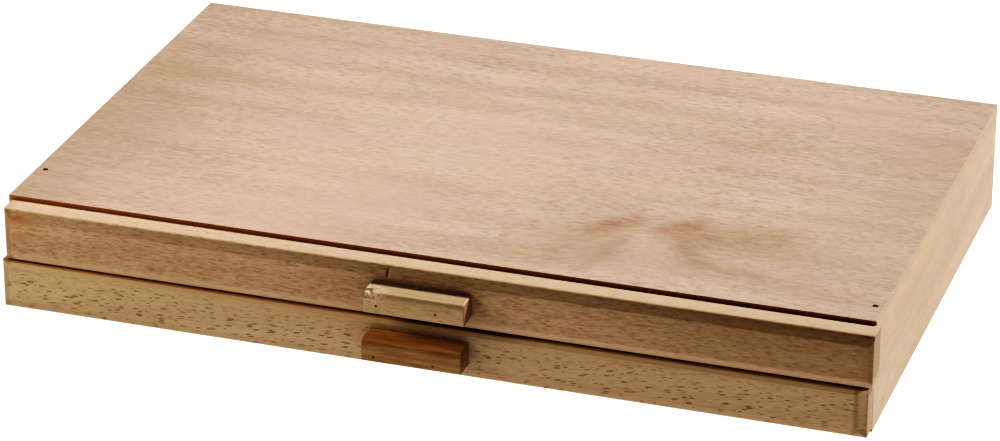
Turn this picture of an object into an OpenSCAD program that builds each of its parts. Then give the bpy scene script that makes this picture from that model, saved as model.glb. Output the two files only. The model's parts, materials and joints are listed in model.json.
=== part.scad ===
// Flat wooden art supply box with two drawers.
// Origin at the centre of the case's footprint, on the face it stands on.
// +X to the right, +Y to the back, +Z up. The drawers open towards -Y.

/* [Case] */
// Width of the case over its side panels
case_w = 400; // [320:5:480]
// Depth of the case, without the drawer fronts
case_d = 240; // [200:5:300]
// Height of the case, with its top and bottom panels
case_h = 53; // [50:0.5:70]
// Thickness of the solid side panels
side_t = 11; // [9:0.5:14]
// Thickness of the back panel
back_t = 8; // [6:0.5:12]
// Thickness of the plywood top panel
top_t = 3; // [2.5:0.5:5]
// Thickness of the plywood bottom panel
bottom_t = 3; // [2.5:0.5:5]
// Depth of the rebates that hold the back and bottom panels in the sides
case_rebate = 5; // [3:0.5:6]

/* [Runners] */
// Width of the strips that carry the upper drawer
runner_w = 8; // [6:0.5:12]
// Height of the strips that carry the upper drawer
runner_h = 3; // [2.5:0.5:4]
// How far the line between the drawers lies below the middle of the bay
split_drop = 0.8; // [0:0.1:1.5]

/* [Drawer fronts] */
// Thickness of a front at its raised field
front_t = 12.5; // [11:0.5:16]
// Gap between the two fronts
front_gap = 0.7; // [0.5:0.1:2]
// Height that the upper front stops short of the top of the case
front_drop = 1.8; // [0.5:0.1:2.5]
// Height of the lower front above the ground
front_lift = 2.3; // [0.5:0.1:3]
// Width of the moulding around the raised field
mould_w = 4.4; // [3.5:0.1:6]
// Depth of the moulding at its outer edge
mould_d = 3; // [2:0.1:4]
// Height of the small step around the raised field
mould_step = 0.6; // [0.3:0.1:1]
// How far the upper front sits to the right of the case
upper_front_shift = 2; // [0:0.1:3]
// Width of the moulding left on the trimmed right end of the upper front
trimmed_mould_w = 2; // [1:0.1:3.5]
// Width of the moulding left on the trimmed top of the lower front
trimmed_top_mould_w = 1.9; // [1:0.1:3.5]

/* [Pulls] */
// Length of a pull
pull_l = 46; // [36:1:60]
// Height of a pull
pull_h = 10.5; // [8:0.5:13]
// How far a pull stands out of its front
pull_d = 11; // [8:0.5:14]
// Radius of the long rounded edge of a pull
pull_r = 3.4; // [2:0.1:4]
// How far the upper pull sits to the left of the middle of its front
upper_pull_shift = 0.8; // [0:0.1:2]
// How far the lower pull sits to the left of the middle of its front
lower_pull_shift = 0.3; // [0:0.1:2]
// Height of the lower pull above the middle of its front
lower_pull_rise = 1.2; // [0:0.1:2]
// Distance of the left pin from the middle of a pull
pull_pin_left = 17.2; // [8:0.1:17.5]
// Distance of the right pin from the middle of a pull
pull_pin_right = 10; // [8:0.1:17.5]
// Height of the upper pins above the underside of their pull
upper_pin_rise = 4; // [2:0.1:5]
// Height of the lower pins above the underside of their pull
lower_pin_rise = 2.3; // [2:0.1:5]
// Radius of the pins through the pulls
pull_pin_r = 0.45; // [0.4:0.05:0.6]

/* [Drawer boxes] */
// Thickness of the drawer sides and backs
box_t = 6; // [5:0.5:8]
// Depth of the joints at the ends of the drawer sides
box_joint = 3.5; // [2:0.5:4]
// Thickness of the plywood drawer bottoms
panel_t = 3; // [2.5:0.5:4]
// Height of a drawer bottom above the lower edge of its sides
panel_lift = 2; // [1.5:0.5:3]
// Depth of the grooves that hold a drawer bottom
panel_groove = 2.5; // [1.5:0.5:3]
// Thickness of the dividers
divider_t = 3; // [2.5:0.5:4]
// Depth of the housings that hold the dividers
divider_housing = 2; // [1:0.5:3]
// How far the dividers stop below the top of the drawer sides
divider_drop = 2; // [1:0.5:4]

/* [Running clearances] */
// Clearance beside each drawer
side_gap = 0.8; // [0.5:0.1:1.5]
// Clearance under each drawer
run_gap = 0.3; // [0.2:0.1:0.6]
// Clearance over each drawer
kick_gap = 0.6; // [0.4:0.1:1]
// Clearance between the case and the back of a closed front
close_gap = 0.3; // [0.2:0.1:0.5]
// Space behind a closed drawer
rear_gap = 2; // [1:0.5:6]

/* [Brads] */
// Radius of a brad's shank
brad_r = 0.6; // [0.5:0.05:0.9]
// Radius of a brad's head
brad_head_r = 1.3; // [1.1:0.1:1.6]
// Height of a brad's head
brad_head_h = 0.6; // [0.4:0.1:0.8]
// How deep a brad's head is punched below the wood
brad_sink = 0.5; // [0.3:0.1:0.7]
// Length of the brads in the case
case_brad_l = 16; // [12:1:20]
// Length of the brads in the runners and drawer corners
small_brad_l = 13; // [11:1:16]
// Length of the pins through the pulls
pull_pin_l = 18; // [15:1:20]
// Distance of the left top brad from the left side of the case
top_brad_left = 4.5; // [4:0.5:7]
// Distance of the right top brad from the right side of the case
top_brad_right = 4; // [4:0.5:7]
// Distance of the left top brad from the front of the case
top_brad_left_y = 30; // [12:1:50]
// Distance of the right top brad from the front of the case
top_brad_right_y = 14; // [12:1:50]
// Distance of the outer runner and bottom brads from the front and back of the case
brad_end = 30; // [20:1:50]

/* [Hidden] */
$fn = 48;

// colours of the woods and the steel
top_wood = [0.80, 0.67, 0.54];
beech = [0.84, 0.71, 0.56];
upper_wood = [0.67, 0.50, 0.33];
lower_wood = [0.74, 0.59, 0.40];
plywood = [0.82, 0.70, 0.54];
steel = [0.45, 0.43, 0.40];

eps = 0.01;                                  // overshoot of a cut
brad_fit = 0.05;                             // radial clearance around a brad
joint_fit = 0.1;                             // clearance at the ends of a panel in its groove

case_front = -case_d / 2;
case_back = case_d / 2;
bay_w = case_w - 2 * side_t;                 // clear width between the sides
bay_floor = bottom_t;
bay_roof = case_h - top_t;
bay_back = case_back - back_t;
split_z = (bay_floor + bay_roof) / 2 - split_drop;
runner_z = split_z - runner_h / 2;

// each front: the height of its lower edge and its own height
lower_front_z = front_lift;
lower_front_h = split_z - front_gap / 2 - lower_front_z;
upper_front_z = split_z + front_gap / 2;
upper_front_h = case_h - front_drop - upper_front_z;
front_back = case_front - close_gap;         // plane of the fronts' back faces
front_face = front_back - front_t;           // plane of the raised fields
mould_r = (pow(mould_w, 2) + pow(mould_d - mould_step, 2)) / (2 * (mould_d - mould_step));
mould_core = front_t - mould_step - mould_r;  // depth of the centre of the moulding's arc

// each drawer box: the height of its lower edge and its own height
box_w = bay_w - 2 * side_gap;
box_back = bay_back - rear_gap;
lower_box_z = bay_floor + run_gap;
lower_box_h = runner_z - kick_gap - lower_box_z;
upper_box_z = runner_z + runner_h + run_gap;
upper_box_h = bay_roof - kick_gap - upper_box_z;
box_inner_w = box_w - 2 * box_t;
box_inner_back = box_back - box_t;
row_d = (box_inner_back - front_back - 2 * divider_t) / 3;   // depth of one of the three rows
front_divider_y = front_back + row_d;
rear_divider_y = front_divider_y + divider_t + row_d;

runner_front = case_front + close_gap;
brad_rows = [case_front + brad_end, 0, case_back - brad_end];

// ---------- shared shapes ----------

// a box from one corner to the opposite one
module block(low, high) {
    translate(low) cube(high - low);
}

// a brad driven along -Z with its head's upper face at z = 0
module brad(length) {
    translate([0, 0, -brad_head_h]) cylinder(r = brad_head_r, h = brad_head_h);
    translate([0, 0, -length]) cylinder(r = brad_r, h = length - brad_head_h + eps);
}

// the hole that a brad's shank and its punched head leave, from the wood's surface at z = 0
module brad_hole(length) {
    translate([0, 0, -brad_sink - brad_head_h - brad_fit])
        cylinder(r = brad_head_r + brad_fit, h = brad_sink + brad_head_h + brad_fit + eps);
    translate([0, 0, -brad_sink - length - brad_fit])
        cylinder(r = brad_r + brad_fit, h = length);
}

// ---------- case ----------

module at_top_brads() {
    translate([-case_w / 2 + top_brad_left, case_front + top_brad_left_y, case_h]) children();
    translate([case_w / 2 - top_brad_right, case_front + top_brad_right_y, case_h]) children();
}

module at_bottom_brads() {
    for (side = [-1, 1], y = brad_rows)
        translate([side * (bay_w / 2 + case_rebate / 2), y, 0]) rotate([180, 0, 0]) children();
    for (x = [-bay_w / 4, 0, bay_w / 4])
        translate([x, case_back - back_t / 2, 0]) rotate([180, 0, 0]) children();
}

module at_runner_brads(sides) {
    for (side = sides, y = brad_rows)
        translate([side * (bay_w / 2 - runner_w), y, split_z]) rotate([0, -90 * side, 0]) children();
}

module top_panel() {
    color(top_wood) difference() {
        block([-case_w / 2, case_front, bay_roof], [case_w / 2, case_back, case_h]);
        at_top_brads() brad_hole(case_brad_l);
    }
}

module bottom_panel() {
    half = bay_w / 2 + case_rebate;
    color(plywood) difference() {
        block([-half, case_front, 0], [half, case_back, bottom_t]);
        at_bottom_brads() brad_hole(case_brad_l);
    }
}

// side = -1 for the left panel, 1 for the right one
module case_side(side) {
    outer = side * case_w / 2;
    inner = side * bay_w / 2;
    color(beech) difference() {
        block([min(outer, inner), case_front, 0], [max(outer, inner), case_back, bay_roof]);
        // rebates for the bottom and the back, cut from the inner face
        translate([inner, 0, 0]) {
            block([-case_rebate, case_front - eps, -eps], [case_rebate, case_back + eps, bottom_t]);
            block([-case_rebate, bay_back, -eps], [case_rebate, case_back + eps, bay_roof + eps]);
        }
        at_top_brads() brad_hole(case_brad_l);
        at_bottom_brads() brad_hole(case_brad_l);
        at_runner_brads([side]) brad_hole(small_brad_l);
    }
}

module left_side() { case_side(-1); }
module right_side() { case_side(1); }

module back_panel() {
    half = bay_w / 2 + case_rebate;
    color(beech) difference() {
        block([-half, bay_back, bottom_t], [half, case_back, bay_roof]);
        at_bottom_brads() brad_hole(case_brad_l);
    }
}

module runner(side) {
    outer = side * bay_w / 2;
    inner = side * (bay_w / 2 - runner_w);
    color(beech) difference() {
        block([min(outer, inner), runner_front, runner_z],
              [max(outer, inner), bay_back, runner_z + runner_h]);
        at_runner_brads([side]) brad_hole(small_brad_l);
    }
}

module left_runner() { runner(-1); }
module right_runner() { runner(1); }

module top_brads() {
    color(steel) at_top_brads() translate([0, 0, -brad_sink]) brad(case_brad_l);
}

module bottom_brads() {
    color(steel) at_bottom_brads() translate([0, 0, -brad_sink]) brad(case_brad_l);
}

module runner_brads() {
    color(steel) at_runner_brads([-1, 1]) translate([0, 0, -brad_sink]) brad(small_brad_l);
}

// ---------- drawers ----------

// the round of one edge of a front's section: depth along +X of the sketch, distance from the edge
// along +Y, where width is how much of the moulding the edge keeps
module moulding(width) {
    intersection() {
        translate([mould_core, width]) circle(r = mould_r);
        square([front_t, width * 2]);
    }
}

// a front's section over a length, moulded at both ends with the widths given
module front_section(length, first, last) {
    square([mould_core, length]);
    moulding(first);
    translate([0, length]) mirror([0, 1]) moulding(last);
    translate([0, first]) square([front_t, length - first - last]);
}

// a raised-field front board with its lower left back corner at the origin, its face towards -Y,
// and the widths of moulding left at its top and its right end
module front_board(height, top_mould, right_mould) {
    intersection() {
        rotate([90, 0, 90]) linear_extrude(case_w)
            mirror([1, 0]) front_section(height, mould_w, top_mould);
        linear_extrude(height)
            rotate(-90) front_section(case_w, mould_w, right_mould);
    }
}

// pin_row is the middle of the pull and the height of its pins
module at_pull_pins(pin_row) {
    for (x = [-pull_pin_left, pull_pin_right])
        translate([pin_row[0] + x, front_face - pull_d, pin_row[1]]) rotate([90, 0, 0]) children();
}

module pin_hole() {
    translate([0, 0, -brad_sink - pull_pin_l - brad_fit])
        cylinder(r = pull_pin_r + brad_fit, h = pull_pin_l + brad_sink + brad_fit + eps);
}

module drawer_front(front_x, front_z, height, top_mould, right_mould, box_z, box_h, pin_row) {
    difference() {
        translate([front_x - case_w / 2, front_back, front_z]) front_board(height, top_mould, right_mould);
        // housings for the ends of the drawer sides
        for (side = [-1, 1])
            translate([side * (box_w - box_t) / 2, 0, 0])
                block([-box_t / 2, front_back - box_joint, box_z],
                      [box_t / 2, front_back + eps, box_z + box_h]);
        // groove for the drawer bottom
        block([-box_inner_w / 2 - panel_groove, front_back - panel_groove - joint_fit, box_z + panel_lift],
              [box_inner_w / 2 + panel_groove, front_back + eps, box_z + panel_lift + panel_t]);
        at_pull_pins(pin_row) pin_hole();
    }
}

// side = -1 for the left piece, 1 for the right one
module drawer_side(side, box_z, box_h) {
    outer = side * box_w / 2;
    inner = side * box_inner_w / 2;
    panel_top = box_z + panel_lift + panel_t;
    difference() {
        block([min(outer, inner), front_back - box_joint, box_z], [max(outer, inner), box_back, box_z + box_h]);
        // groove for the bottom, rebate for the back and housings for the dividers
        translate([inner, 0, 0]) {
            block([-panel_groove - joint_fit, front_back - box_joint - eps, box_z + panel_lift],
                  [panel_groove + joint_fit, box_back + eps, panel_top]);
            block([-box_joint, box_inner_back, box_z - eps], [box_joint, box_back + eps, box_z + box_h + eps]);
            for (y = [front_divider_y, rear_divider_y])
                block([-divider_housing, y, panel_top - eps],
                      [divider_housing, y + divider_t, box_z + box_h + eps]);
        }
        at_corner_brads(box_z, box_h) brad_hole(small_brad_l);
    }
}

module drawer_back(box_z, box_h) {
    half = box_inner_w / 2 + box_joint;
    difference() {
        block([-half, box_inner_back, box_z], [half, box_back, box_z + box_h]);
        block([-half - eps, box_inner_back - eps, box_z + panel_lift],
              [half + eps, box_inner_back + panel_groove + joint_fit, box_z + panel_lift + panel_t]);
        at_corner_brads(box_z, box_h) brad_hole(small_brad_l);
    }
}

module drawer_bottom(box_z) {
    half = box_inner_w / 2 + panel_groove;
    block([-half, front_back - panel_groove, box_z + panel_lift],
          [half, box_inner_back + panel_groove, box_z + panel_lift + panel_t]);
}

module divider(y, box_z, box_h) {
    half = box_inner_w / 2 + divider_housing;
    block([-half, y, box_z + panel_lift + panel_t], [half, y + divider_t, box_z + box_h - divider_drop]);
}

// two brads through each drawer side into the end of the back
module at_corner_brads(box_z, box_h) {
    panel_top = box_z + panel_lift + panel_t;
    for (side = [-1, 1], part = [1, 3])
        translate([side * box_w / 2, box_back - box_t / 2, panel_top + (box_z + box_h - panel_top) * part / 4])
            rotate([0, 90 * side, 0]) children();
}

// a block pull with its long upper front edge rounded, its underside at pull_z
module pull(pull_z, pin_row) {
    difference() {
        translate([pin_row[0] - pull_l / 2, front_face, pull_z])
            rotate([90, 0, 90]) linear_extrude(pull_l) mirror([1, 0]) {
                square([pull_d - pull_r, pull_h]);
                square([pull_d, pull_h - pull_r]);
                translate([pull_d - pull_r, pull_h - pull_r]) circle(r = pull_r);
            }
        at_pull_pins(pin_row) pin_hole();
    }
}

module pull_pins(pin_row) {
    at_pull_pins(pin_row)
        translate([0, 0, -brad_sink - pull_pin_l]) cylinder(r = pull_pin_r, h = pull_pin_l);
}

upper_pull_z = upper_front_z + (upper_front_h - pull_h) / 2;
lower_pull_z = lower_front_z + (lower_front_h - pull_h) / 2 + lower_pull_rise;
upper_pin_row = [upper_front_shift - upper_pull_shift, upper_pull_z + upper_pin_rise];
lower_pin_row = [-lower_pull_shift, lower_pull_z + lower_pin_rise];

module upper_front() {
    color(upper_wood) drawer_front(upper_front_shift, upper_front_z, upper_front_h, mould_w, trimmed_mould_w,
                                   upper_box_z, upper_box_h, upper_pin_row);
}
module upper_left_side() { color(beech) drawer_side(-1, upper_box_z, upper_box_h); }
module upper_right_side() { color(beech) drawer_side(1, upper_box_z, upper_box_h); }
module upper_back() { color(beech) drawer_back(upper_box_z, upper_box_h); }
module upper_bottom() { color(plywood) drawer_bottom(upper_box_z); }
module upper_front_divider() { color(beech) divider(front_divider_y, upper_box_z, upper_box_h); }
module upper_rear_divider() { color(beech) divider(rear_divider_y, upper_box_z, upper_box_h); }
module upper_pull() { color(upper_wood) pull(upper_pull_z, upper_pin_row); }
module upper_pull_pins() { color(steel) pull_pins(upper_pin_row); }
module upper_corner_brads() {
    color(steel) at_corner_brads(upper_box_z, upper_box_h)
        translate([0, 0, -brad_sink]) brad(small_brad_l);
}

module lower_front() {
    color(lower_wood) drawer_front(0, lower_front_z, lower_front_h, trimmed_top_mould_w, mould_w,
                                   lower_box_z, lower_box_h, lower_pin_row);
}
module lower_left_side() { color(beech) drawer_side(-1, lower_box_z, lower_box_h); }
module lower_right_side() { color(beech) drawer_side(1, lower_box_z, lower_box_h); }
module lower_back() { color(beech) drawer_back(lower_box_z, lower_box_h); }
module lower_bottom() { color(plywood) drawer_bottom(lower_box_z); }
module lower_front_divider() { color(beech) divider(front_divider_y, lower_box_z, lower_box_h); }
module lower_rear_divider() { color(beech) divider(rear_divider_y, lower_box_z, lower_box_h); }
module lower_pull() { color(lower_wood) pull(lower_pull_z, lower_pin_row); }
module lower_pull_pins() { color(steel) pull_pins(lower_pin_row); }
module lower_corner_brads() {
    color(steel) at_corner_brads(lower_box_z, lower_box_h)
        translate([0, 0, -brad_sink]) brad(small_brad_l);
}

top_panel();
bottom_panel();
left_side();
right_side();
back_panel();
left_runner();
right_runner();
top_brads();
bottom_brads();
runner_brads();
upper_front();
upper_left_side();
upper_right_side();
upper_back();
upper_bottom();
upper_front_divider();
upper_rear_divider();
upper_pull();
upper_pull_pins();
upper_corner_brads();
lower_front();
lower_left_side();
lower_right_side();
lower_back();
lower_bottom();
lower_front_divider();
lower_rear_divider();
lower_pull();
lower_pull_pins();
lower_corner_brads();
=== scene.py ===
"""Finishes, light and camera for a flat wooden art supply box with two drawers.

The frame gives every piece its place, in metres: +X to the right, +Y to the back, +Z up.
"""
import json
import math

import bmesh
import bpy
import numpy as np
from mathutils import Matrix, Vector


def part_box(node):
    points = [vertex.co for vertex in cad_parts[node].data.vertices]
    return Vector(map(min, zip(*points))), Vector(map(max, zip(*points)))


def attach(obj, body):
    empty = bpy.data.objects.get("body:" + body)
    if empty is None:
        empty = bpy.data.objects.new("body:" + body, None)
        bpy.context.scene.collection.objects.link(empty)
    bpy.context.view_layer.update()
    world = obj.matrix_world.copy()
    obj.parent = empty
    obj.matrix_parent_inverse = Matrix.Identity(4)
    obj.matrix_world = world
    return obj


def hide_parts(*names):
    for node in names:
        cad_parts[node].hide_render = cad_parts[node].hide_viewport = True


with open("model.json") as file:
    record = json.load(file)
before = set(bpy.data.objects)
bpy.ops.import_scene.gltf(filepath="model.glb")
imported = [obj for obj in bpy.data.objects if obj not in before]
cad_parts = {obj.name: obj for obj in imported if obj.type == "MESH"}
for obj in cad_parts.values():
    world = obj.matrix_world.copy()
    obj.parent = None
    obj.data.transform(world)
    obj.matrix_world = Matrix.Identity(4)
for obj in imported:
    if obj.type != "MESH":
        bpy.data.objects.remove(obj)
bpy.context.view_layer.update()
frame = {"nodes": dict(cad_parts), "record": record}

MM = 0.001

# ---------- sizes that the frame's boxes don't give ----------

CASE_REBATE = 5 * MM          # depth of the rebates in the case sides
PANEL_GROOVE = 2.6 * MM       # depth of the grooves for a drawer bottom
CORNER_REBATE = 3.5 * MM      # depth of the rebates for a drawer back
MOULD_WIDTH = 4.4 * MM
MOULD_DEPTH = 3 * MM
MOULD_STEP = 0.15 * MM
MOULD_BELLY = 0.35            # how far the moulding bulges from a straight bevel towards a quarter ellipse
STEP_WEAR = 0.5 * MM          # how far sanding has softened the step, to each side
TRIMMED_END = 2.4 * MM        # how much is cut off the moulding at the upper front's right end
TRIMMED_TOP = 2.5 * MM        # how much is cut off the moulding at the lower front's top
TRIM_WEAR = 0.25 * MM         # radius that sanding leaves where the moulding is trimmed
PULL_ROUND = 3.4 * MM         # radius of a pull's long upper edge
CHIP_PLACE = 2.5 * MM         # distance from a pull's left end to the middle of its chip
CHIP_REACH = 3.5 * MM         # how far the chip spreads to each side
CHIP_DEPTH = 1.1 * MM
CHIP_GRID = 0.3 * MM          # distance between a chip's rings
FIBRE_WIDTH = 0.35 * MM       # length of the chip's fine ripple along X, over 2 pi
SPLINTER_WIDTH = 0.8 * MM     # the same for its broad ripple
SPLINTER_HEIGHT = 0.5 * MM    # and its length up the pull
RIPPLE = 0.15                 # how far each ripple changes the chip's depth, as a share of it
PIN_HOLE = 0.5 * MM           # radius of the holes over the pins
PIN_SINK = 1.2 * MM           # depth of the cut that opens those holes
EASE = 0.35 * MM              # radius that sanding leaves on a board's edges
TOP_EASE = 0.2 * MM           # the same on the top panel
SOFT_EASE = 0.6 * MM          # the same on the pulls, which are handled
SHARP = 0.02 * MM             # radius of an edge that stays sharp
BRAD_HOLE = 1.35 * MM         # radius of the holes over the top brads' heads
BRAD_SINK = 1 * MM            # depth of the cut that opens those holes
BRAD_PLAY = 0.05 * MM         # how much wider than a head its hole is, in radius
ARC_POINTS = 8                # points on each eased corner
HOLE_POINTS = 24              # points round each hole
CURVE_POINTS = 5              # points on each curved arris of a front
BEVEL_POINTS = 12             # points across a front's moulding
STEP_POINTS = 9               # points across the worn step beside it
CREASE = math.radians(25)     # edges sharper than this are shaded sharp
WELD = 0.001 * MM             # points nearer than this are one point


# ---------- meshes ----------

def box_of(node):
    """The lowest and highest corner of a CAD node, as two arrays."""
    low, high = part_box(node)
    return np.array(low), np.array(high)


def eased_outline(corners, radii, inset):
    """Points round a right-angled outline given anticlockwise: every side moves in by inset, and each
    corner is a quarter circle, centre - r*out*cos(t) + r*into*sin(t), for the sides into and out of it."""
    corners = np.asarray(corners, float)
    into = corners - np.roll(corners, 1, 0)
    into /= np.linalg.norm(into, axis=1, keepdims=True)
    out = np.roll(into, -1, 0)
    inward = np.stack([-(into + out)[:, 1], (into + out)[:, 0]], 1)
    radius = np.maximum(np.asarray(radii, float) - inset, SHARP)[:, None]
    centre = corners + inset * inward + radius * (out - into)
    turn = np.linspace(0, math.pi / 2, ARC_POINTS)[:, None, None]
    points = centre - radius * out * np.cos(turn) + radius * into * np.sin(turn)
    return points.transpose(1, 0, 2).reshape(-1, 2)


def skin(rings):
    """The closed skin over a stack of rings of equal length: quads join each ring to the next, and a flat
    face closes each end."""
    stations, count, _ = rings.shape
    station, point = np.meshgrid(np.arange(stations - 1), np.arange(count), indexing="ij")
    this = station * count + point
    following = station * count + (point + 1) % count
    quads = np.stack([this, following, following + count, this + count], -1).reshape(-1, 4)
    last = (stations - 1) * count
    caps = [list(range(count)), list(range(last, last + count))]
    return rings.reshape(-1, 3), quads.tolist() + caps


def finish_mesh(mesh):
    """Joins doubled points, turns all faces outwards and shades smooth up to the crease angle."""
    work = bmesh.new()
    work.from_mesh(mesh)
    bmesh.ops.remove_doubles(work, verts=work.verts, dist=2 * WELD)
    bmesh.ops.recalc_face_normals(work, faces=work.faces)
    work.to_mesh(mesh)
    work.free()
    mesh.polygons.foreach_set("use_smooth", np.ones(len(mesh.polygons), bool))
    mesh.set_sharp_from_angle(angle=CREASE)


def add_piece(name, node, rings):
    """A piece skinned over rings that stands for a CAD node, on its body."""
    points, faces = skin(rings)
    mesh = bpy.data.meshes.new(name)
    mesh.from_pydata(points.tolist(), [], faces)
    finish_mesh(mesh)
    piece = bpy.data.objects.new(name, mesh)
    bpy.context.scene.collection.objects.link(piece)
    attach(piece, BODY_OF[node])
    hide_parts(node)
    return piece


def eased_ends(start, end, ease):
    """Stations along a board as (place, inset): a quarter circle of radius ease eases both ends."""
    turn = np.linspace(0, math.pi / 2, ARC_POINTS)
    inset = ease * (1 - np.sin(turn))
    rise = ease * (1 - np.cos(turn))
    place = np.concatenate([start + rise, (end - rise)[::-1]])
    return list(zip(place, np.concatenate([inset, inset[::-1]])))


def board_rings(axis, corners, radii, stations):
    """Rings of an outline carried along an axis, one for each (place, inset) station. The outline's two
    coordinates are the other two axes, in X, Y, Z order."""
    rings = []
    for place, inset in stations:
        outline = eased_outline(corners, radii, inset)
        rings.append(np.insert(outline, axis, place, axis=1))
    return np.array(rings)


def plain_board(name, node, axis, ease=EASE):
    """A board that fills its CAD node's box, with all edges eased."""
    low, high = box_of(node)
    (a0, b0), (a1, b1) = np.delete(low, axis), np.delete(high, axis)
    corners = [(a0, b0), (a1, b0), (a1, b1), (a0, b1)]
    stations = eased_ends(low[axis], high[axis], ease)
    return add_piece(name, node, board_rings(axis, corners, [ease] * 4, stations))


def rebated_side(name, node, corners, rebate_line, rebate_x, flush_top=False):
    """A side board along Y whose outline has a groove or rebate. Behind rebate_line it is thinned to
    rebate_x, where the back sits. With flush_top its upper edges stay sharp, as another board covers them."""
    low, high = box_of(node)
    outer = np.sign(rebate_x)
    stations = eased_ends(low[1], high[1], EASE)
    stations = sorted(stations + [(rebate_line, 0), (rebate_line + SHARP, 0)])
    outer_x = high[0] if outer > 0 else low[0]
    covered = high[2] - SHARP if flush_top else math.inf
    radii = [EASE if abs(x - outer_x) < SHARP and z < covered else SHARP for x, z in corners]
    rings = board_rings(1, corners, radii, stations)
    behind = rings[:, :, 1] > rebate_line
    thinned = np.maximum(rings[:, :, 0] * outer, abs(rebate_x)) * outer
    rings[:, :, 0] = np.where(behind, thinned, rings[:, :, 0])
    return add_piece(name, node, rings)


def anticlockwise(corners):
    """The corners of an outline, turned round if they run clockwise."""
    x, z = np.array(corners).T
    area = np.sum(x * np.roll(z, -1) - z * np.roll(x, -1))
    return corners if area > 0 else corners[::-1]


def faces_of_side(low, high):
    """Which way a side board faces, 1 for right and -1 for left, and the x of its outer and inner face."""
    return (1, high[0], low[0]) if high[0] > 0 else (-1, low[0], high[0])


def case_side(node):
    """A case side: a board with a rebate for the bottom panel along its lower inner edge."""
    low, high = box_of(node)
    side, outer, inner = faces_of_side(low, high)
    rebate_x = inner + side * CASE_REBATE
    floor_top = box_of("bottom_panel")[1][2]
    corners = [(outer, low[2]), (outer, high[2]), (inner, high[2]), (inner, floor_top),
               (rebate_x, floor_top), (rebate_x, low[2])]
    back_line = box_of("back_panel")[0][1]
    return rebated_side(node + "_board", node, anticlockwise(corners), back_line, rebate_x, flush_top=True)


def drawer_side(node, drawer):
    """A drawer side: a board with a groove for the drawer bottom."""
    low, high = box_of(node)
    side, outer, inner = faces_of_side(low, high)
    groove_x = inner + side * PANEL_GROOVE
    floor_low, floor_high = (corner[2] for corner in box_of(drawer + "_bottom"))
    corners = [(outer, low[2]), (outer, high[2]), (inner, high[2]), (inner, floor_high),
               (groove_x, floor_high), (groove_x, floor_low), (inner, floor_low), (inner, low[2])]
    back_line = box_of(drawer + "_back")[0][1]
    rebate_x = inner + side * CORNER_REBATE
    return rebated_side(node + "_board", node, anticlockwise(corners), back_line, rebate_x)


def bend(start, corner, end):
    """A quadratic curve from start to end that heads for corner: (1-t)^2*start + 2t(1-t)*corner + t^2*end."""
    t = np.linspace(0, 1, CURVE_POINTS)[:, None]
    return (1 - t) ** 2 * np.array(start) + 2 * t * (1 - t) * np.array(corner) + t ** 2 * np.array(end)


def moulded_profile(thickness):
    """Points (inset from the edge, height over the back) across a front's edge: the eased back arris, the
    wall, the eased front arris, a bevel that rises as (1-b)*t + b*sqrt(1 - (1-t)^2), with b the belly, and a
    step that rises as the S-curve t*t*(3 - 2t), worn soft by sanding."""
    arris = thickness - MOULD_DEPTH

    def bevel(inset):
        t = np.minimum(inset / MOULD_WIDTH, 1)
        bulge = (1 - MOULD_BELLY) * t + MOULD_BELLY * np.sqrt(1 - (1 - t) ** 2)
        return arris + (MOULD_DEPTH - MOULD_STEP) * bulge

    inset = np.linspace(EASE, MOULD_WIDTH - STEP_WEAR, BEVEL_POINTS)
    t = np.linspace(0, 1, STEP_POINTS)
    worn = MOULD_WIDTH - STEP_WEAR + 2 * STEP_WEAR * t
    rise = (thickness - bevel(worn)) * t * t * (3 - 2 * t)
    return np.concatenate([
        bend((EASE, 0), (0, 0), (0, EASE)),
        bend((0, arris - EASE), (0, arris), (EASE, bevel(EASE))),
        np.stack([inset, bevel(inset)], 1)[1:-1],
        np.stack([worn, bevel(worn) + rise], 1)])


def moulded_front(node, trim_right=0, trim_top=0):
    """A drawer front: its edge profile carried round the board as mitred loops. trim_right and trim_top are
    how much has been cut off the moulding there; the cut's arris is worn as (d + sqrt(d*d + w*w)) / 2."""
    low, high = box_of(node)

    def left_of(inset, trim):
        if not trim:
            return inset
        beyond = inset - trim
        return (beyond + math.hypot(beyond, TRIM_WEAR)) / 2

    loops = []
    for inset, height in moulded_profile(high[1] - low[1]):
        left, bottom = low[0] + inset, low[2] + inset
        right, top = high[0] - left_of(inset, trim_right), high[2] - left_of(inset, trim_top)
        y = high[1] - height
        loops.append([(left, y, bottom), (right, y, bottom), (right, y, top), (left, y, top)])
    return add_piece(node + "_board", node, np.array(loops))


def drill(piece, axis, centres, radius, depth):
    """Round holes into the piece along an axis, one at each (x, y, z) centre on its surface: a bit's rings
    are circles, (cos t, sin t) * radius, half of its length out of the wood."""
    turn = np.linspace(0, 2 * math.pi, HOLE_POINTS, endpoint=False)
    circle = radius * np.stack([np.cos(turn), np.sin(turn)], 1)
    points, faces = [], []
    for centre in centres:
        rings = np.array([np.insert(circle, axis, place, axis=1) for place in (-depth, depth)]) + centre
        bit_points, bit_faces = skin(rings)
        faces += [[index + len(points) for index in face] for face in bit_faces]
        points += bit_points.tolist()
    mesh = bpy.data.meshes.new("drill")
    mesh.from_pydata(points, [], faces)
    finish_mesh(mesh)
    bit = bpy.data.objects.new("drill", mesh)
    bpy.context.scene.collection.objects.link(bit)
    cut = piece.modifiers.new("holes", "BOOLEAN")
    cut.object = bit
    cut.solver = "EXACT"
    bpy.context.view_layer.update()
    drilled = bpy.data.meshes.new_from_object(piece.evaluated_get(bpy.context.evaluated_depsgraph_get()))
    piece.modifiers.clear()
    piece.data = drilled
    drilled.set_sharp_from_angle(angle=CREASE)
    bpy.data.objects.remove(bit)


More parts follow.
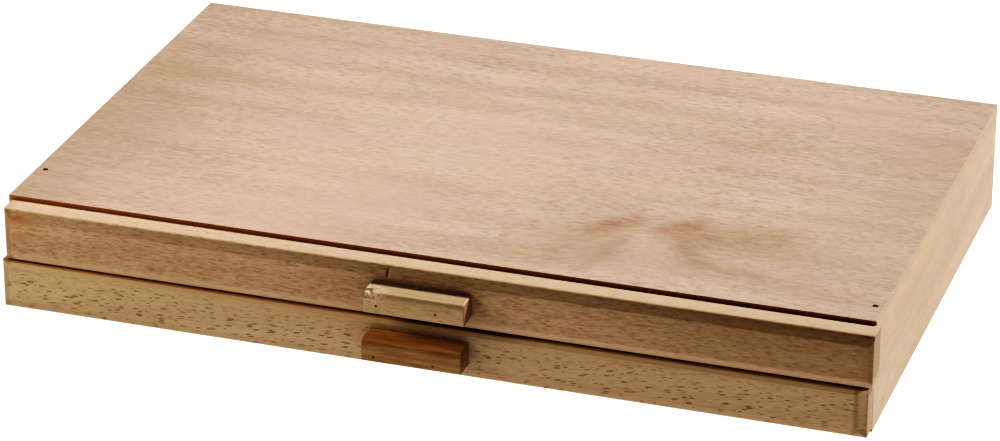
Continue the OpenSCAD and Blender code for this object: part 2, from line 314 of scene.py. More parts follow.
def chip(rings, low, high):
    """Pushes the left end of a pull's long round towards its middle line, by CHIP_DEPTH times a bell curve
    along X, exp(-d*d), and times a ripple of a fine and a broad sine wave that is 1 at most."""
    middle = np.array([low[1] + PULL_ROUND, high[2] - PULL_ROUND])
    inward = middle - rings[:, :, 1:]
    reach = np.linalg.norm(inward, axis=2, keepdims=True)
    on_round = (inward[:, :, 0] > 0) & (inward[:, :, 1] < 0)
    x = rings[:, :, 0] - low[0]
    bell = np.exp(-((x - CHIP_PLACE) / CHIP_REACH) ** 2)
    fine = np.sin(x / FIBRE_WIDTH)
    broad = np.sin(x / SPLINTER_WIDTH + rings[:, :, 2] / SPLINTER_HEIGHT)
    ripple = 1 - RIPPLE * (2 - fine - broad)
    depth = CHIP_DEPTH * bell * ripple * on_round
    rings[:, :, 1:] += depth[:, :, None] * inward / np.maximum(reach, SHARP)
    return rings


def block_pull(node, pins, chipped=False):
    """A pull: a block with a round along its upper front edge, the rest softly eased, and open pin holes."""
    low, high = box_of(node)
    corners = [(low[1], low[2]), (high[1], low[2]), (high[1], high[2]), (low[1], high[2])]
    radii = [SOFT_EASE, SHARP, SHARP, PULL_ROUND]
    stations = eased_ends(low[0], high[0], SOFT_EASE)
    if chipped:
        between = np.arange(low[0] + SOFT_EASE + CHIP_GRID, low[0] + 3 * CHIP_REACH, CHIP_GRID)
        stations = sorted(stations + [(place, 0) for place in between])
    rings = board_rings(0, corners, radii, stations)
    if chipped:
        rings = chip(rings, low, high)
    piece = add_piece(node + "_block", node, rings)
    pin_low, pin_high = box_of(pins)
    pin_radius = (pin_high[2] - pin_low[2]) / 2
    height = (pin_high[2] + pin_low[2]) / 2
    holes = [(pin_low[0] + pin_radius, low[1], height), (pin_high[0] - pin_radius, low[1], height)]
    drill(piece, 1, holes, PIN_HOLE, PIN_SINK)
    return piece


def top_board():
    """The top panel with the open holes over its brads: one brad lies at the low x and high y corner of the
    brads' box, the other at the high x and low y corner."""
    piece = plain_board("top_panel_board", "top_panel", axis=0, ease=TOP_EASE)
    low, high = box_of("top_brads")
    surface = box_of("top_panel")[1][2]
    head = BRAD_HOLE - BRAD_PLAY
    left = (low[0] + head, high[1] - head, surface)
    right = (high[0] - head, low[1] + head, surface)
    drill(piece, 2, (left, right), BRAD_HOLE, BRAD_SINK)
    return piece


def ease_cad_edges(node):
    """Eases the edges of a plain CAD board where it stands."""
    board = frame["nodes"][node]
    weld = board.modifiers.new("weld", "WELD")
    weld.merge_threshold = WELD
    bevel = board.modifiers.new("ease", "BEVEL")
    bevel.width = EASE
    bevel.segments = 3
    bevel.limit_method = "ANGLE"
    bevel.angle_limit = math.radians(40)


# ---------- tones, as linear red, green and blue; those of a wood are (dark, middle, light) ----------

VENEER = ((0.180, 0.112, 0.086), (0.282, 0.196, 0.148), (0.340, 0.248, 0.188))
VENEER_STRAW = (0.290, 0.208, 0.138)
VENEER_PINK = (0.278, 0.182, 0.142)
VENEER_RED = (0.168, 0.096, 0.072)
VENEER_BROWN = (0.184, 0.118, 0.090)
VENEER_PALE = (0.34, 0.245, 0.180)
VENEER_GOLD = (0.30, 0.20, 0.11)
TOP_EDGE_PAINTED_SHADE = (0.27, 0.125, 0.05)        # painted shade: the top panel's front edge, dark as the shadow above the upper front
CASE_BEECH = ((0.235, 0.149, 0.088), (0.317, 0.211, 0.129), (0.35, 0.242, 0.155))
SIDE_BEECH = ((0.260, 0.168, 0.100), (0.336, 0.228, 0.142), (0.375, 0.263, 0.172))
PLY = ((0.24, 0.172, 0.112), (0.32, 0.237, 0.16), (0.355, 0.27, 0.19))
END_RED = (0.168, 0.086, 0.058)         # what finish does to end grain
UPPER_BEECH = ((0.186, 0.116, 0.064), (0.318, 0.222, 0.143), (0.366, 0.268, 0.180))
PAINTED_LIGHT_PALE = (0.42, 0.31, 0.22)          # painted light: the upper front's lower moulding, and a painted highlight on the flank of its dent
STRIP_PALE = (0.31, 0.222, 0.155)       # the narrow upper side of the upper front
STRIP_MARK = (0.20, 0.115, 0.055)       # the rubs on that side
CORNER_RED = (0.27, 0.13, 0.055)        # the patch at its upper left corner
# painted shade in the dent by the upper pull
DENT_PAINTED_SHADE = (0.05, 0.025, 0.015)
GAP_PAINTED_LIGHT = (0.40, 0.235, 0.12)           # painted light: the faces in the gap between the fronts, lighter and redder so their shade reads reddish brown
LOWER_BEECH = ((0.204, 0.130, 0.070), (0.360, 0.269, 0.175), (0.400, 0.306, 0.204))
LOWER_FLECK = (0.17, 0.098, 0.042)
LOWER_BAND_PAINTED_LIGHT = (0.44, 0.315, 0.19)         # painted light along the top of the lower front's moulding
PULL_BEECH = ((0.21, 0.14, 0.078), (0.348, 0.262, 0.162), (0.375, 0.29, 0.188))
PULL_TOP_PAINTED_SHADE = (0.20, 0.138, 0.098)       # painted shade: the flat upper side of the upper pull, in the upper front's shadow
TORN_AND_HIGHLIGHT = (0.44, 0.325, 0.25)              # bare wood where the upper pull is torn, and the painted highlight along its rounded edge
RED_BEECH = ((0.15, 0.084, 0.040), (0.30, 0.190, 0.096), (0.36, 0.232, 0.126))
LOWER_PULL_PAINTED_LIGHT = (1.9, 1.75, 1.5)               # painted light: how much lighter the lower pull's upper side is made, though it lies in shade
STEEL = (0.13, 0.10, 0.08)
STEEL_BROWN = (0.12, 0.07, 0.045)
SHEEN = 0.13                            # how strongly sanded wood reflects


# ---------- grain, marks, and painted light and shade ---

# how many per metre, along the grain and both ways across it
SWAY = (9, 30, 30)
RINGS = (2.5, 60, 60)
CLOUDS = (14, 40, 40)
HAIRS = (60, 2200, 2200)
FLECK_ZONES = (25, 90, 90)
# how many per metre, along X, Y and Z
END_PORES = (700, 700, 700)
BAND_SHADE_EDGE = (45, 1, 700)
SPLINTERS = (500, 900, 900)
STRIP_MOTTLING = (150, 500, 1)
STRIP_RUBS = (520, 110, 1)
VENEER_CLOUDS = (8, 18, 1)
VENEER_BREAKS = (130, 500, 1)
RUST = (900, 900, 900)

SWAY_WIDTH = 6 * MM           # how far the grain sways to and fro
GRAIN_SLOPE = 0.08            # how steeply the lower front's grain climbs
BUMP = 0.05 * MM              # depth of the pores
RUST_BUMP = 0.02 * MM
ROUGH_SPREAD = 0.14           # how much the roughness varies from pore to pore
TORN_ROUGHNESS = 0.8
FLECK_SIZES = (0.24, 0.22)    # largest fleck of each of the two layers, as a share of its cell
FLECK_SHIFT = (4.3 * MM, 1.7 * MM)   # from the first layer to the second, along and across the grain
CLEAR_BAND = 9 * MM           # below a front's top, where flecks thin out
BAND_SHADE_RAG = 2.4 * MM         # how ragged the edge of the painted shade under a moulding is
CORE_HALF = 0.75 * MM         # half of the thickness of the plywood's middle layer

KNOT = (85 * MM, -60 * MM)    # x and y of the hidden knot's middle
KNOT_REACH = 30 * MM          # how far along X it bends the grain
KNOT_LIFT = 12 * MM           # how far it lifts it
KNOT_RIDGE = (8 * MM, -10 * MM)   # the lift fades in between these distances from the middle along Y

# strokes of tone on the top, most of them the knot's figure and the first painted shade, in mm: start, end,
# width along X and Y, amount, tone
VENEER_STROKES_AND_SHADE = (
    # painted shade: darkens the top towards its left end
    ((-200, -110), (-190, 30), (45, 60), 0.75, VENEER_BROWN),
    ((195, -120), (195, 110), (40, 40), 0.35, VENEER_BROWN),
    ((-80, -105), (-20, 30), (70, 40), 0.4, VENEER_PALE),
    ((62, -75), (150, -72), (30, 28), 0.42, VENEER_BROWN),
    ((84, -74), (90, -88), (8, 8), 0.3, VENEER_PALE),
    ((52, -90), (60, -74), (6, 5), 0.3, VENEER_RED),
    ((60, -72), (67, -63), (6, 5), 0.6, VENEER_RED),
    ((66, -63), (75, -56), (6, 6), 0.8, VENEER_RED),
    ((73, -73), (72, -92), (4.5, 4), 0.5, VENEER_BROWN),
    ((72, -92), (65, -112), (5, 4), 0.5, VENEER_BROWN),
    ((36, -87), (25, -104), (12, 5), 0.2, VENEER_BROWN),
    ((91, -60), (102, -53), (5, 7), 0.85, VENEER_RED),
    ((108, -62), (138, -57), (12, 14), 0.65, VENEER_RED),
    ((98, -66), (104, -78), (4, 5), 0.6, VENEER_BROWN),
    ((104, -78), (114, -90), (5, 6), 0.8, VENEER_BROWN),
    ((114, -90), (138, -95), (8, 5), 0.7, VENEER_BROWN),
    ((138, -95), (160, -96), (9, 4), 0.35, VENEER_BROWN),
    ((-2, -43), (72, -18), (10, 2.5), 0.25, VENEER_GOLD),
)

# bands of painted light and shade along a front's edges: the edge, the distances from it in mm where the
# band starts and where it is full, amount, tone
UPPER_FRONT_LIGHT_AND_SHADE_BANDS = (
    # painted shade: darker towards the right end
    ("right", 162, 0, 0.3, UPPER_BEECH[0]),
    # painted light: paler along the lower moulding
    ("bottom", 6.5, 1, 0.6, PAINTED_LIGHT_PALE),
    # painted shade: darker along the right and left mouldings
    ("right", 6, 3.5, 0.3, UPPER_BEECH[0]),
    ("left", 5, 3, 0.65, UPPER_BEECH[0]),
)
LOWER_FRONT_LIGHT_AND_SHADE_BANDS = (
    # painted light along the top moulding
    ("top", 2.8, 1.6, 0.6, LOWER_BAND_PAINTED_LIGHT),
    # painted shade along the lower and left mouldings
    ("bottom", 5.2, 3.8, 0.45, LOWER_BEECH[0]),
    ("left", 5, 3, 0.5, LOWER_BEECH[0]),
)

# soft spots, in mm: middle, reach along X, Y and Z, amount, tone
UPPER_FRONT_SPOTS = (
    ((-189, -132.8, 47.2), (9, 8, 3), 0.6, CORNER_RED),
    # the dent by the pull, drawn in colour: a painted highlight on its flank and painted shade in it
    ((-13.8, -132.8, 47.6), (0.7, 6, 1.5), 0.7, PAINTED_LIGHT_PALE),
    ((-14.9, -132.8, 48.1), (0.55, 6, 1.7), 1, DENT_PAINTED_SHADE),
)
# painted shade: a dark line along the step of the right moulding
LOWER_STEP_SHADE = (((195.4, 0, 0), (1.1, 1000, 1000), 0.6, LOWER_BEECH[0]),)
SIDE_SPOTS = (((200, -101, 6), (20, 3, 2), 0.7, CASE_BEECH[0]),)
# the same without amount and tone
STRIP_PATCH = ((30, -132.8, 51.2), (25, 40, 4))
TORN_SPOT = ((-17.8, -142.3, 42.375), (5, 4, 2.4))

# painted shade along the upper mouldings: how far under the front's top the shade is full and how far below
# that it has faded out, both in mm, and amount
UPPER_BAND_SHADE = (3.6, 2.4, 0.15)
LOWER_BAND_SHADE = (1.8, 3, 0.12)


# ---------- node trees ----------

class Finish:
    """A material's node tree, with one short call for each kind of node."""

    def __init__(self, name):
        self.material = bpy.data.materials.new(name)
        self.material.use_nodes = True
        self.tree = self.material.node_tree
        self.shader = self.tree.nodes["Principled BSDF"]
        coordinates = self.tree.nodes.new("ShaderNodeTexCoord")
        self.place = coordinates.outputs["Object"]
        self.facing = coordinates.outputs["Normal"]

    def feed(self, socket, value):
        """Joins a socket to the input, or sets it to a number or colour."""
        if isinstance(value, bpy.types.NodeSocket):
            self.tree.links.new(value, socket)
        elif value is not None:
            socket.default_value = value

    def math(self, operation, *values, clamp=False):
        """A sum on numbers. clamp keeps the result between 0 and 1."""
        node = self.tree.nodes.new("ShaderNodeMath")
        node.operation = operation
        node.use_clamp = clamp
        for socket, value in zip(node.inputs, values):
            self.feed(socket, value)
        return node.outputs[0]

    def vector(self, operation, *values):
        """A sum on vectors. A length or a dot product comes out as a number."""
        node = self.tree.nodes.new("ShaderNodeVectorMath")
        node.operation = operation
        for socket, value in zip(node.inputs, values):
            self.feed(socket, value)
        return node.outputs["Value" if operation in ("LENGTH", "DOT_PRODUCT") else "Vector"]

    def split(self, vector):
        """The three parts of a vector or colour."""
        node = self.tree.nodes.new("ShaderNodeSeparateXYZ")
        self.feed(node.inputs[0], vector)
        return node.outputs

    def join(self, x, y, z):
        """A vector from three numbers."""
        node = self.tree.nodes.new("ShaderNodeCombineXYZ")
        for socket, value in zip(node.inputs, (x, y, z)):
            self.feed(socket, value)
        return node.outputs[0]

    def noise(self, place, per_metre, detail=2, roughness=0.5):
        """Noise from 0 to 1 whose cells are 1 / per_metre long along each axis."""
        node = self.tree.nodes.new("ShaderNodeTexNoise")
        self.feed(node.inputs["Vector"], self.vector("MULTIPLY", place, per_metre))
        node.inputs["Scale"].default_value = 1
        node.inputs["Detail"].default_value = detail
        node.inputs["Roughness"].default_value = roughness
        return node.outputs[0]

    def cells(self, along, across, per_metre):
        """Scattered points in a plane: (distance to the nearest point, that point's own random number)."""
        node = self.tree.nodes.new("ShaderNodeTexVoronoi")
        node.voronoi_dimensions = "2D"
        place = self.join(along, across, 0)
        self.feed(node.inputs["Vector"], self.vector("MULTIPLY", place, (*per_metre, 1)))
        node.inputs["Scale"].default_value = 1
        return node.outputs["Distance"], self.split(node.outputs["Color"])[0]

    def fade(self, value, low, high, start=0.0, end=1.0):
        """start below low, end above high and an even S-curve between. low may lie above high."""
        node = self.tree.nodes.new("ShaderNodeMapRange")
        node.interpolation_type = "SMOOTHSTEP"
        for socket, number in zip(node.inputs, (value, low, high, start, end)):
            self.feed(socket, number)
        return node.outputs[0]

    def mix(self, factor, first, second, blend="MIX"):
        """The first colour where the factor is 0, the second where it is 1."""
        node = self.tree.nodes.new("ShaderNodeMix")
        node.data_type = "RGBA"
        node.blend_type = blend
        self.feed(node.inputs[0], factor)
        self.feed(node.inputs[6], first if isinstance(first, bpy.types.NodeSocket) else (*first, 1))
        self.feed(node.inputs[7], second if isinstance(second, bpy.types.NodeSocket) else (*second, 1))
        return node.outputs[2]

    def mix_value(self, factor, first, second):
        """The same for two numbers."""
        node = self.tree.nodes.new("ShaderNodeMix")
        for socket, value in zip(node.inputs, (factor, None, first, second)):
            self.feed(socket, value)
        return node.outputs[0]

    def spot(self, centre, reach):
        """A soft spot: 1 at the centre, falling as a bell curve with the reach along each axis, all in mm."""
        away = self.vector("SUBTRACT", self.place, [value * MM for value in centre])
        scaled = self.vector("DIVIDE", away, [value * MM for value in reach])
        distance = self.vector("DOT_PRODUCT", scaled, scaled)
        return self.math("EXPONENT", self.math("MULTIPLY", distance, -1))

    def stroke(self, start, end, width):
        """A soft stroke on the XY plane: 1 along the line from start to end, falling as a bell curve."""
        run = Vector(end) - Vector(start)
        away = self.vector("SUBTRACT", self.vector("MULTIPLY", self.place, (1, 1, 0)), (*start, 0))
        share = self.vector("DOT_PRODUCT", away, (*(run / run.length_squared), 0))
        share = self.math("ADD", share, 0, clamp=True)
        nearest = self.vector("MULTIPLY", self.join(share, share, 0), (*run, 0))
        gap = self.vector("DIVIDE", self.vector("SUBTRACT", away, nearest), (*width, 1))
        return self.math("EXPONENT", self.math("MULTIPLY", self.vector("DOT_PRODUCT", gap, gap), -1))

    def finish(self, colour, roughness, height, depth):
        """Joins colour and roughness to the shader, and bumps the surface by height times depth in metres."""
        self.feed(self.shader.inputs["Base Color"], colour)
        self.feed(self.shader.inputs["Roughness"], roughness)
        self.shader.inputs["Specular IOR Level"].default_value = SHEEN
        bump = self.tree.nodes.new("ShaderNodeBump")
        bump.inputs["Distance"].default_value = depth
        bump.inputs["Strength"].default_value = 1
        self.feed(bump.inputs["Height"], height)
        self.feed(self.shader.inputs["Normal"], bump.outputs[0])
        return self.material


# ---------- woods ----------

def along_grain(finish, grain):
    """Object coordinates with the grain along the first axis. grain is "x" or "y"."""
    x, y, z = finish.split(finish.place)
    return finish.place if grain == "x" else finish.join(y, x, z)


def fleck_layer(finish, along, across, per_metre, largest):
    """Scattered lens-shaped dashes along the grain, from 0 between them to 1 inside. A dash is a quarter of
    the largest or more in size, and fades in from its rim to 0.45 of it."""
    distance, random = finish.cells(along, across, per_metre)
    size = finish.math("MULTIPLY_ADD", random, largest * 0.75, largest * 0.25)
    return finish.fade(distance, size, finish.math("MULTIPLY", size, 0.45))


def wood(name, tones, grain="x", bands=0.3, dash=(220, 800), dashes=0.5, fleck=(60, 280), flecks=0.0,
         fleck_top=None, fleck_tone=None, end=0.9, roughness=0.55, figure=None, marks=None):
    """A planed, sanded wood. tones is (dark, middle, light). From coarse to fine: bands follow the growth
    rings, dashes are the short marks of its pores, and flecks are the dark lenses of beech's rays; dash and
    fleck are how many there are per metre along and across the grain. figure(finish, place) bends the grain,
    and marks(finish, colour, roughness) adds stains, dents and painted light and shade."""
    dark, middle, light = tones
    finish = Finish(name)
    grained = along_grain(finish, grain)
    if figure:
        grained = figure(finish, grained)
    sway = finish.math("MULTIPLY_ADD", finish.noise(grained, SWAY, 1), SWAY_WIDTH, -SWAY_WIDTH / 2)
    grained = finish.vector("ADD", grained, finish.join(0, sway, sway))

    rings = finish.noise(grained, RINGS, 3, 0.6)
    clouds = finish.noise(grained, CLOUDS, 2, 0.5)
    colour = finish.mix(finish.fade(rings, 0.3, 0.7), finish.mix(bands, middle, dark),
                        finish.mix(bands, middle, light))
    colour = finish.mix(finish.fade(clouds, 0.5, 0.75, 0, bands * 0.7), colour, light)
    colour = finish.mix(finish.fade(clouds, 0.5, 0.25, 0, bands * 0.7), colour, dark)

    short = finish.noise(grained, (dash[0], dash[1], dash[1]), 2, 0.6)
    colour = finish.mix(finish.fade(short, 0.5, 0.3, 0, dashes), colour, dark)
    colour = finish.mix(finish.fade(short, 0.5, 0.7, 0, dashes * 0.8), colour, light)
    hairs = finish.noise(grained, HAIRS, 2, 0.6)
    colour = finish.mix(finish.fade(hairs, 0.5, 0.3, 0, dashes * 0.5), colour, dark)
    height = finish.math("MULTIPLY_ADD", short, 0.5, hairs)

    if flecks:
        along, sideways, upwards = finish.split(grained)
        across = finish.math("ADD", sideways, upwards)
        first = fleck_layer(finish, along, across, fleck, FLECK_SIZES[0])
        shifted = [finish.math("ADD", place, shift) for place, shift in zip((along, across), FLECK_SHIFT)]
        second = fleck_layer(finish, *shifted, (fleck[0] * 1.2, fleck[1] * 1.1), FLECK_SIZES[1])
        fleck_amount = finish.math("MAXIMUM", first, second)
        zones = finish.noise(grained, FLECK_ZONES, 1)
        fleck_amount = finish.math("MULTIPLY", fleck_amount, finish.fade(zones, 0.35, 0.6, 0.65, 1))
        if fleck_top:
            z = finish.split(finish.place)[2]
            thinned = finish.fade(z, fleck_top, fleck_top - CLEAR_BAND, 0.2, 1)
            fleck_amount = finish.math("MULTIPLY", fleck_amount, thinned)
        colour = finish.mix(finish.math("MULTIPLY", fleck_amount, flecks), colour, fleck_tone or dark)
        height = finish.math("MULTIPLY_ADD", fleck_amount, -0.5, height)

    # end grain shows short dark pores and drinks more finish
    facing_end = finish.math("ABSOLUTE", finish.split(finish.facing)[0 if grain == "x" else 1])
    end_pores = finish.noise(finish.place, END_PORES, 2, 0.7)
    end_tone = finish.mix(finish.fade(end_pores, 0.4, 0.65), middle, dark)
    end_tone = finish.mix(0.7, end_tone, END_RED)
    colour = finish.mix(finish.fade(facing_end, 0.6, 0.9, 0, end), colour, end_tone)

    rough = finish.math("MULTIPLY_ADD", hairs, ROUGH_SPREAD, roughness - ROUGH_SPREAD / 2)
    if marks:
        colour, rough = marks(finish, colour, rough)
    return finish.finish(colour, rough, height, BUMP)


def rising_grain(finish, place):
    """Grain that climbs a little from left to right."""
    x, y, z = finish.split(place)
    return finish.join(x, y, finish.math("MULTIPLY_ADD", x, -GRAIN_SLOPE, z))


def knot_figure(finish, place):
    """Bends the top veneer's grain over a hidden knot: below it the lines rise to a ridge along X, as a bell
    curve that fades out above the knot."""
    x, y, z = finish.split(place)
    across = finish.math("DIVIDE", finish.math("SUBTRACT", x, KNOT[0]), KNOT_REACH)
    bell = finish.math("EXPONENT", finish.math("MULTIPLY", finish.math("MULTIPLY", across, across), -1))
    below = finish.fade(y, KNOT[1] + KNOT_RIDGE[0], KNOT[1] + KNOT_RIDGE[1])
    lift = finish.math("MULTIPLY", finish.math("MULTIPLY", bell, below), KNOT_LIFT)
    return finish.join(x, finish.math("SUBTRACT", y, lift), z)


def painted_band_shade(finish, node, under, reach, amount):
    """An amount of painted shade that fades out under a front's top with a ragged edge, darkening the
    moulding.
    """
    ragged = finish.noise(finish.place, BAND_SHADE_EDGE, 3, 0.6)
    z = finish.split(finish.place)[2]
    height = finish.math("MULTIPLY_ADD", ragged, BAND_SHADE_RAG, finish.math("SUBTRACT", z, BAND_SHADE_RAG / 2))
    full = box_of(node)[1][2] - under * MM
    return finish.fade(height, full - reach * MM, full, 0, amount)


def painted_edge_bands(finish, colour, node, bands):
    """Bands of painted light and shade along a front's edges."""
    low, high = box_of(node)
    x, _, z = finish.split(finish.place)
    edges = {"left": (x, low[0], MM), "right": (x, high[0], -MM),
             "bottom": (z, low[2], MM), "top": (z, high[2], -MM)}
    for edge, start, full, amount, tone in bands:
        place, rim, inward = edges[edge]
        band = finish.fade(place, rim + start * inward, rim + full * inward, 0, amount)
        colour = finish.mix(band, colour, tone)
    return colour


def add_spots(finish, colour, spots):
    """Soft spots of tone."""
    for middle, reach, amount, tone in spots:
        colour = finish.mix(finish.math("MULTIPLY", finish.spot(middle, reach), amount), colour, tone)
    return colour


def upper_front_marks_and_light(finish, colour, rough):
    """A board with painted shade towards its right end and along its end and upper mouldings, painted light
    along its lower moulding, sanded paler on top, with a small dent by the pull drawn as painted highlight and
    painted shade, a reddish patch at its upper left corner and painted light on its underside in the gap."""
    # painted light and shade in bands along the edges
    colour = painted_edge_bands(finish, colour, "upper_front", UPPER_FRONT_LIGHT_AND_SHADE_BANDS)
    # painted shade along the upper moulding
    colour = finish.mix(painted_band_shade(finish, "upper_front", *UPPER_BAND_SHADE), colour, UPPER_BEECH[0])
    # spots: a reddish patch, and the dent as painted highlight and painted shade
    colour = add_spots(finish, colour, UPPER_FRONT_SPOTS)
    up = finish.split(finish.facing)[2]
    strip = finish.fade(up, 0.85, 0.97)
    colour = finish.mix(finish.math("MULTIPLY", strip, 0.55), colour, STRIP_PALE)
    mottling = finish.fade(finish.noise(finish.place, STRIP_MOTTLING, 3, 0.65), 0.45, 0.3, 0, 0.55)
    colour = finish.mix(finish.math("MULTIPLY", strip, mottling), colour, STRIP_MARK)
    rubs = finish.fade(finish.noise(finish.place, STRIP_RUBS, 2), 0.55, 0.72, 0, 0.45)
    rubs = finish.math("MULTIPLY", finish.spot(*STRIP_PATCH), rubs)
    colour = finish.mix(finish.math("MULTIPLY", strip, rubs), colour, STRIP_MARK)
    # painted light on the underside, in the shade of the gap
    return finish.mix(finish.fade(up, -0.96, -0.99), colour, GAP_PAINTED_LIGHT), rough


def lower_front_light_and_shade(finish, colour, rough):
    """Painted light along the top of its upper moulding, with faint ragged painted shade below it. Painted
    shade darkens the lower and left mouldings, and a line of painted shade lies along the step of the right
    one. Its top face carries painted light for the shade in the gap."""
    # painted light and shade in bands along the edges
    colour = painted_edge_bands(finish, colour, "lower_front", LOWER_FRONT_LIGHT_AND_SHADE_BANDS)
    # painted shade along the upper moulding, under the upper front
    colour = finish.mix(painted_band_shade(finish, "lower_front", *LOWER_BAND_SHADE), colour, LOWER_BEECH[0])
    # painted shade along the step of the right moulding
    colour = add_spots(finish, colour, LOWER_STEP_SHADE)
    # painted light on the top face, in the shade of the gap
    up = finish.fade(finish.split(finish.facing)[2], 0.96, 0.99)
    return finish.mix(up, colour, GAP_PAINTED_LIGHT), rough


def upper_pull_marks_and_light(finish, colour, rough):
    """Pale torn fibres at the left end of its rounded edge, a painted highlight along that edge and
    painted shade on its flat upper side.
    """
    fibres = finish.fade(finish.noise(finish.place, SPLINTERS, 2, 0.6), 0.4, 0.52)
    torn = finish.math("MULTIPLY", finish.spot(*TORN_SPOT), fibres)
    up = finish.split(finish.facing)[2]
    # painted shade on the flat upper side
    colour = finish.mix(finish.fade(up, 0.93, 0.99, 0, 0.8), colour, PULL_TOP_PAINTED_SHADE)
    # painted highlight along the rounded edge
    painted_highlight = finish.math("MULTIPLY", finish.fade(up, 0.72, 0.80), finish.fade(up, 0.93, 0.86))
    colour = finish.mix(finish.math("MULTIPLY", painted_highlight, 0.5), colour, TORN_AND_HIGHLIGHT)
    colour = finish.mix(finish.math("MULTIPLY", torn, 1.3, clamp=True), colour, TORN_AND_HIGHLIGHT)
    return colour, finish.mix_value(torn, rough, TORN_ROUGHNESS)


def lower_pull_painted_light(finish, colour, rough):
    """Painted light: its upper side, which lies in shade, is made lighter."""
    up = finish.fade(finish.split(finish.facing)[2], 0.5, 0.95)
    # painted light on the upper side
    return finish.mix(up, colour, LOWER_PULL_PAINTED_LIGHT, "MULTIPLY"), rough


def side_marks(finish, colour, rough):
    """A small darker spot near the right side's lower front corner."""
    return add_spots(finish, colour, SIDE_SPOTS), rough


def veneer_marks_and_shade(finish, colour, rough):
    """Wide soft clouds, the knot's soft streaks, painted shade towards the left end, the plywood's darker
    middle layer and painted shade on the front edge."""
    straw = finish.noise(finish.place, VENEER_CLOUDS, 2)
    colour = finish.mix(finish.fade(straw, 0.45, 0.65, 0, 0.3), colour, VENEER_STRAW)
    colour = finish.mix(finish.fade(straw, 0.5, 0.35, 0, 0.5), colour, VENEER_PINK)
    breaks = finish.fade(finish.noise(finish.place, VENEER_BREAKS, 3, 0.6), 0.25, 0.7, 0.4, 1)
    # the knot's strokes, and painted shade towards the top's left end
    for start, end, width, amount, tone in VENEER_STROKES_AND_SHADE:
        start, end, width = ([value * MM for value in pair] for pair in (start, end, width))
        stroke = finish.math("MULTIPLY", finish.stroke(start, end, width), breaks)
        colour = finish.mix(finish.math("MULTIPLY", stroke, amount), colour, tone)
    low, high = box_of("top_panel")
    core = finish.math("COMPARE", finish.split(finish.place)[2], (low[2] + high[2]) / 2, CORE_HALF)
    edge_tone = finish.mix(finish.math("MULTIPLY", core, 0.35), SIDE_BEECH[1], SIDE_BEECH[0])
    facing = finish.split(finish.facing)
    edge = finish.fade(finish.math("ABSOLUTE", facing[2]), 0.7, 0.4, 0, 0.8)
    colour = finish.mix(edge, colour, edge_tone)
    # painted shade: the front edge is darkened as the shadow above the upper front
    front = finish.fade(facing[1], -0.6, -0.9)
    return finish.mix(front, colour, TOP_EDGE_PAINTED_SHADE), rough


def steel(name):
    """Dull brad steel: dark grey, browned in patches."""
    finish = Finish(name)
    patches = finish.noise(finish.place, RUST, 3)
    colour = finish.mix(finish.fade(patches, 0.4, 0.65), STEEL, STEEL_BROWN)
    finish.shader.inputs["Metallic"].default_value = 0.6
    rough = finish.math("MULTIPLY_ADD", patches, 0.3, 0.35)
    return finish.finish(colour, rough, patches, RUST_BUMP)


def dress(material, *pieces):
    """Gives pieces a material in their first and only slot."""
    for piece in pieces:
        piece.data.materials.clear()
        piece.data.materials.append(material)


# ---------- the box ----------

BODY_OF = {node: body for body, nodes in frame["record"]["behaviour"]["bodies"].items() for node in nodes}
SLOT_OF = {part["node"]: part["material_slot"] for part in frame["record"]["subparts"]}
cad = frame["nodes"]

sides = [case_side(node) for node in ("left_side", "right_side")]
back = plain_board("back_panel_board", "back_panel", axis=0)
top = top_board()
upper_front = moulded_front("upper_front", trim_right=TRIMMED_END)
lower_front = moulded_front("lower_front", trim_top=TRIMMED_TOP)
upper_pull = block_pull("upper_pull", "upper_pull_pins", chipped=True)
lower_pull = block_pull("lower_pull", "lower_pull_pins")

drawer_sides = []
drawer_backs = []
dividers = []
drawer_floors = []
for drawer in ("upper", "lower"):
    drawer_sides += [drawer_side(f"{drawer}_{hand}_side", drawer) for hand in ("left", "right")]
    drawer_backs.append(plain_board(f"{drawer}_back_board", f"{drawer}_back", axis=0))
    dividers += [cad[f"{drawer}_{place}_divider"] for place in ("front", "rear")]
    drawer_floors.append(cad[f"{drawer}_bottom"])
for node in ("left_runner", "right_runner"):
    ease_cad_edges(node)
for board in dividers:
    ease_cad_edges(board.name)

lower_front_top = box_of("lower_front")[1][2]
dress(wood("top_veneer", VENEER, bands=0.42, dash=(230, 640), dashes=0.65, fleck=(80, 260), flecks=0.2,
           figure=knot_figure, marks=veneer_marks_and_shade), top)
dress(wood("side_beech", SIDE_BEECH, grain="y", bands=0.5, dash=(90, 900), dashes=0.5,
           marks=side_marks), *sides)
dress(wood("back_beech", CASE_BEECH, dashes=0.35, flecks=0.4), back)
dress(wood("upper_front_beech", UPPER_BEECH, bands=0.3, dash=(250, 1000), dashes=0.62, fleck=(100, 480),
           flecks=0.35, marks=upper_front_marks_and_light), upper_front)
dress(wood("lower_front_beech", LOWER_BEECH, bands=0.25, dashes=0.3, fleck=(92, 390), flecks=0.85,
           fleck_top=lower_front_top, fleck_tone=LOWER_FLECK, figure=rising_grain,
           marks=lower_front_light_and_shade), lower_front)
dress(wood("upper_pull_beech", PULL_BEECH, dashes=0.5, roughness=0.36, marks=upper_pull_marks_and_light), upper_pull)
dress(wood("lower_pull_beech", RED_BEECH, bands=0.5, dash=(60, 700), dashes=0.5, roughness=0.42,
           marks=lower_pull_painted_light), lower_pull)
dress(wood("drawer_side_beech", CASE_BEECH, grain="y", dashes=0.35), *drawer_sides,
      cad["left_runner"], cad["right_runner"])
dress(wood("drawer_beech", CASE_BEECH, dashes=0.35, flecks=0.3), *drawer_backs, *dividers)
dress(wood("plywood", PLY, dash=(120, 600), dashes=0.35), cad["bottom_panel"], *drawer_floors)
dress(steel("brad_steel"), *(cad[node] for node in SLOT_OF if SLOT_OF[node] == "brad_steel"))


# ---------- floor, light and camera ----------

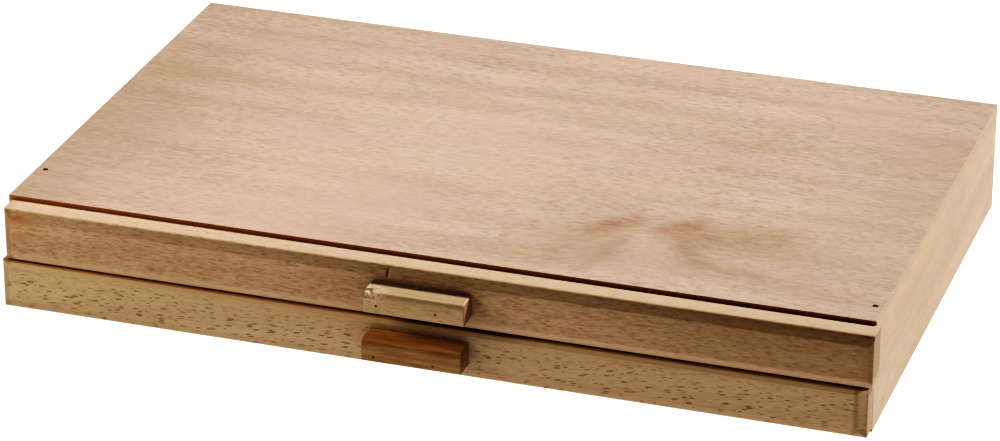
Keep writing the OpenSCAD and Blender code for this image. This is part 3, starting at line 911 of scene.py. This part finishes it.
def add_floor():
    """A plain pale floor, a little luminous so that it stays white under the box."""
    half = FLOOR_WIDTH / 2
    corners = [(-half, -half, 0), (half, -half, 0), (half, half, 0), (-half, half, 0)]
    mesh = bpy.data.meshes.new("floor")
    mesh.from_pydata(corners, [], [(0, 1, 2, 3)])
    floor = bpy.data.objects.new("floor", mesh)
    bpy.context.scene.collection.objects.link(floor)
    finish = Finish("floor")
    finish.shader.inputs["Base Color"].default_value = (*FLOOR_TONE, 1)
    finish.shader.inputs["Roughness"].default_value = 0.9
    finish.shader.inputs["Specular IOR Level"].default_value = 0.1
    finish.shader.inputs["Emission Color"].default_value = (*GLOW_TONE, 1)
    finish.shader.inputs["Emission Strength"].default_value = FLOOR_GLOW
    mesh.materials.append(finish.material)


def add_softbox(name, direction, distance, size, power, colour):
    """A square area light at that distance along direction from the box, aimed at it and itself unseen."""
    light = bpy.data.lights.new(name, "AREA")
    light.shape = "SQUARE"
    light.size = size
    light.energy = power
    light.color = colour
    lamp = bpy.data.objects.new(name, light)
    bpy.context.scene.collection.objects.link(lamp)
    towards = Vector(direction).normalized()
    lamp.location = towards * distance
    lamp.rotation_euler = towards.to_track_quat("Z", "Y").to_euler()
    lamp.visible_camera = False


def add_camera():
    """A long lens from the front right, looking down at the box."""
    data = bpy.data.cameras.new("camera")
    data.lens = LENS
    data.sensor_width = SENSOR
    data.sensor_fit = "HORIZONTAL"
    camera = bpy.data.objects.new("camera", data)
    bpy.context.scene.collection.objects.link(camera)
    camera.location = CAMERA_PLACE
    aim = Vector(CAMERA_AIM) - camera.location
    camera.rotation_euler = aim.to_track_quat("-Z", "Y").to_euler()
    bpy.context.scene.camera = camera


def set_surroundings(strength):
    """Dim, even surroundings."""
    world = bpy.data.worlds.new("surroundings")
    world.use_nodes = True
    background = world.node_tree.nodes["Background"]
    background.inputs["Color"].default_value = (*ROOM_TONE, 1)
    background.inputs["Strength"].default_value = strength
    bpy.context.scene.world = world


def set_contrast():
    """A print-like tone curve over the plain view transform: deep, saturated shadows and clean whites."""
    view = bpy.context.scene.view_settings
    view.view_transform = "Standard"
    view.use_curve_mapping = True
    tones = view.curve_mapping
    curve = tones.curves[3]   # the one for all three colours together
    for light, print_tone in TONE_CURVE:
        curve.points.new(light, print_tone)
    tones.update()


FLOOR_WIDTH = 8
FLOOR_TONE = (0.05, 0.05, 0.05)
FLOOR_GLOW = 1.3
GLOW_TONE = (1, 0.99, 0.97)
ROOM_TONE = (1, 0.90, 0.78)
LENS = 146.765                # in mm, as is the sensor's width
SENSOR = 36
CAMERA_PLACE = (0.53578, -1.62492, 0.82566)
CAMERA_AIM = (-0.0074, 0, 0.0151)
# what the print shows for each amount of light
TONE_CURVE = ((0.02, 0.0016), (0.05, 0.0072), (0.09, 0.028), (0.147, 0.085), (0.22, 0.188), (0.31, 0.353),
              (0.52, 0.60), (0.70, 0.80), (0.85, 0.96))
add_floor()
add_softbox("key", direction=(0.38, 0.60, 0.70), distance=15, size=2.2, power=5870, colour=(0.99, 1, 1))
add_softbox("left_fill", direction=(-0.50, -0.42, 0.40), distance=0.62, size=0.25, power=1.52,
            colour=(1, 0.985, 0.93))
add_camera()
set_surroundings(0.06)
set_contrast()
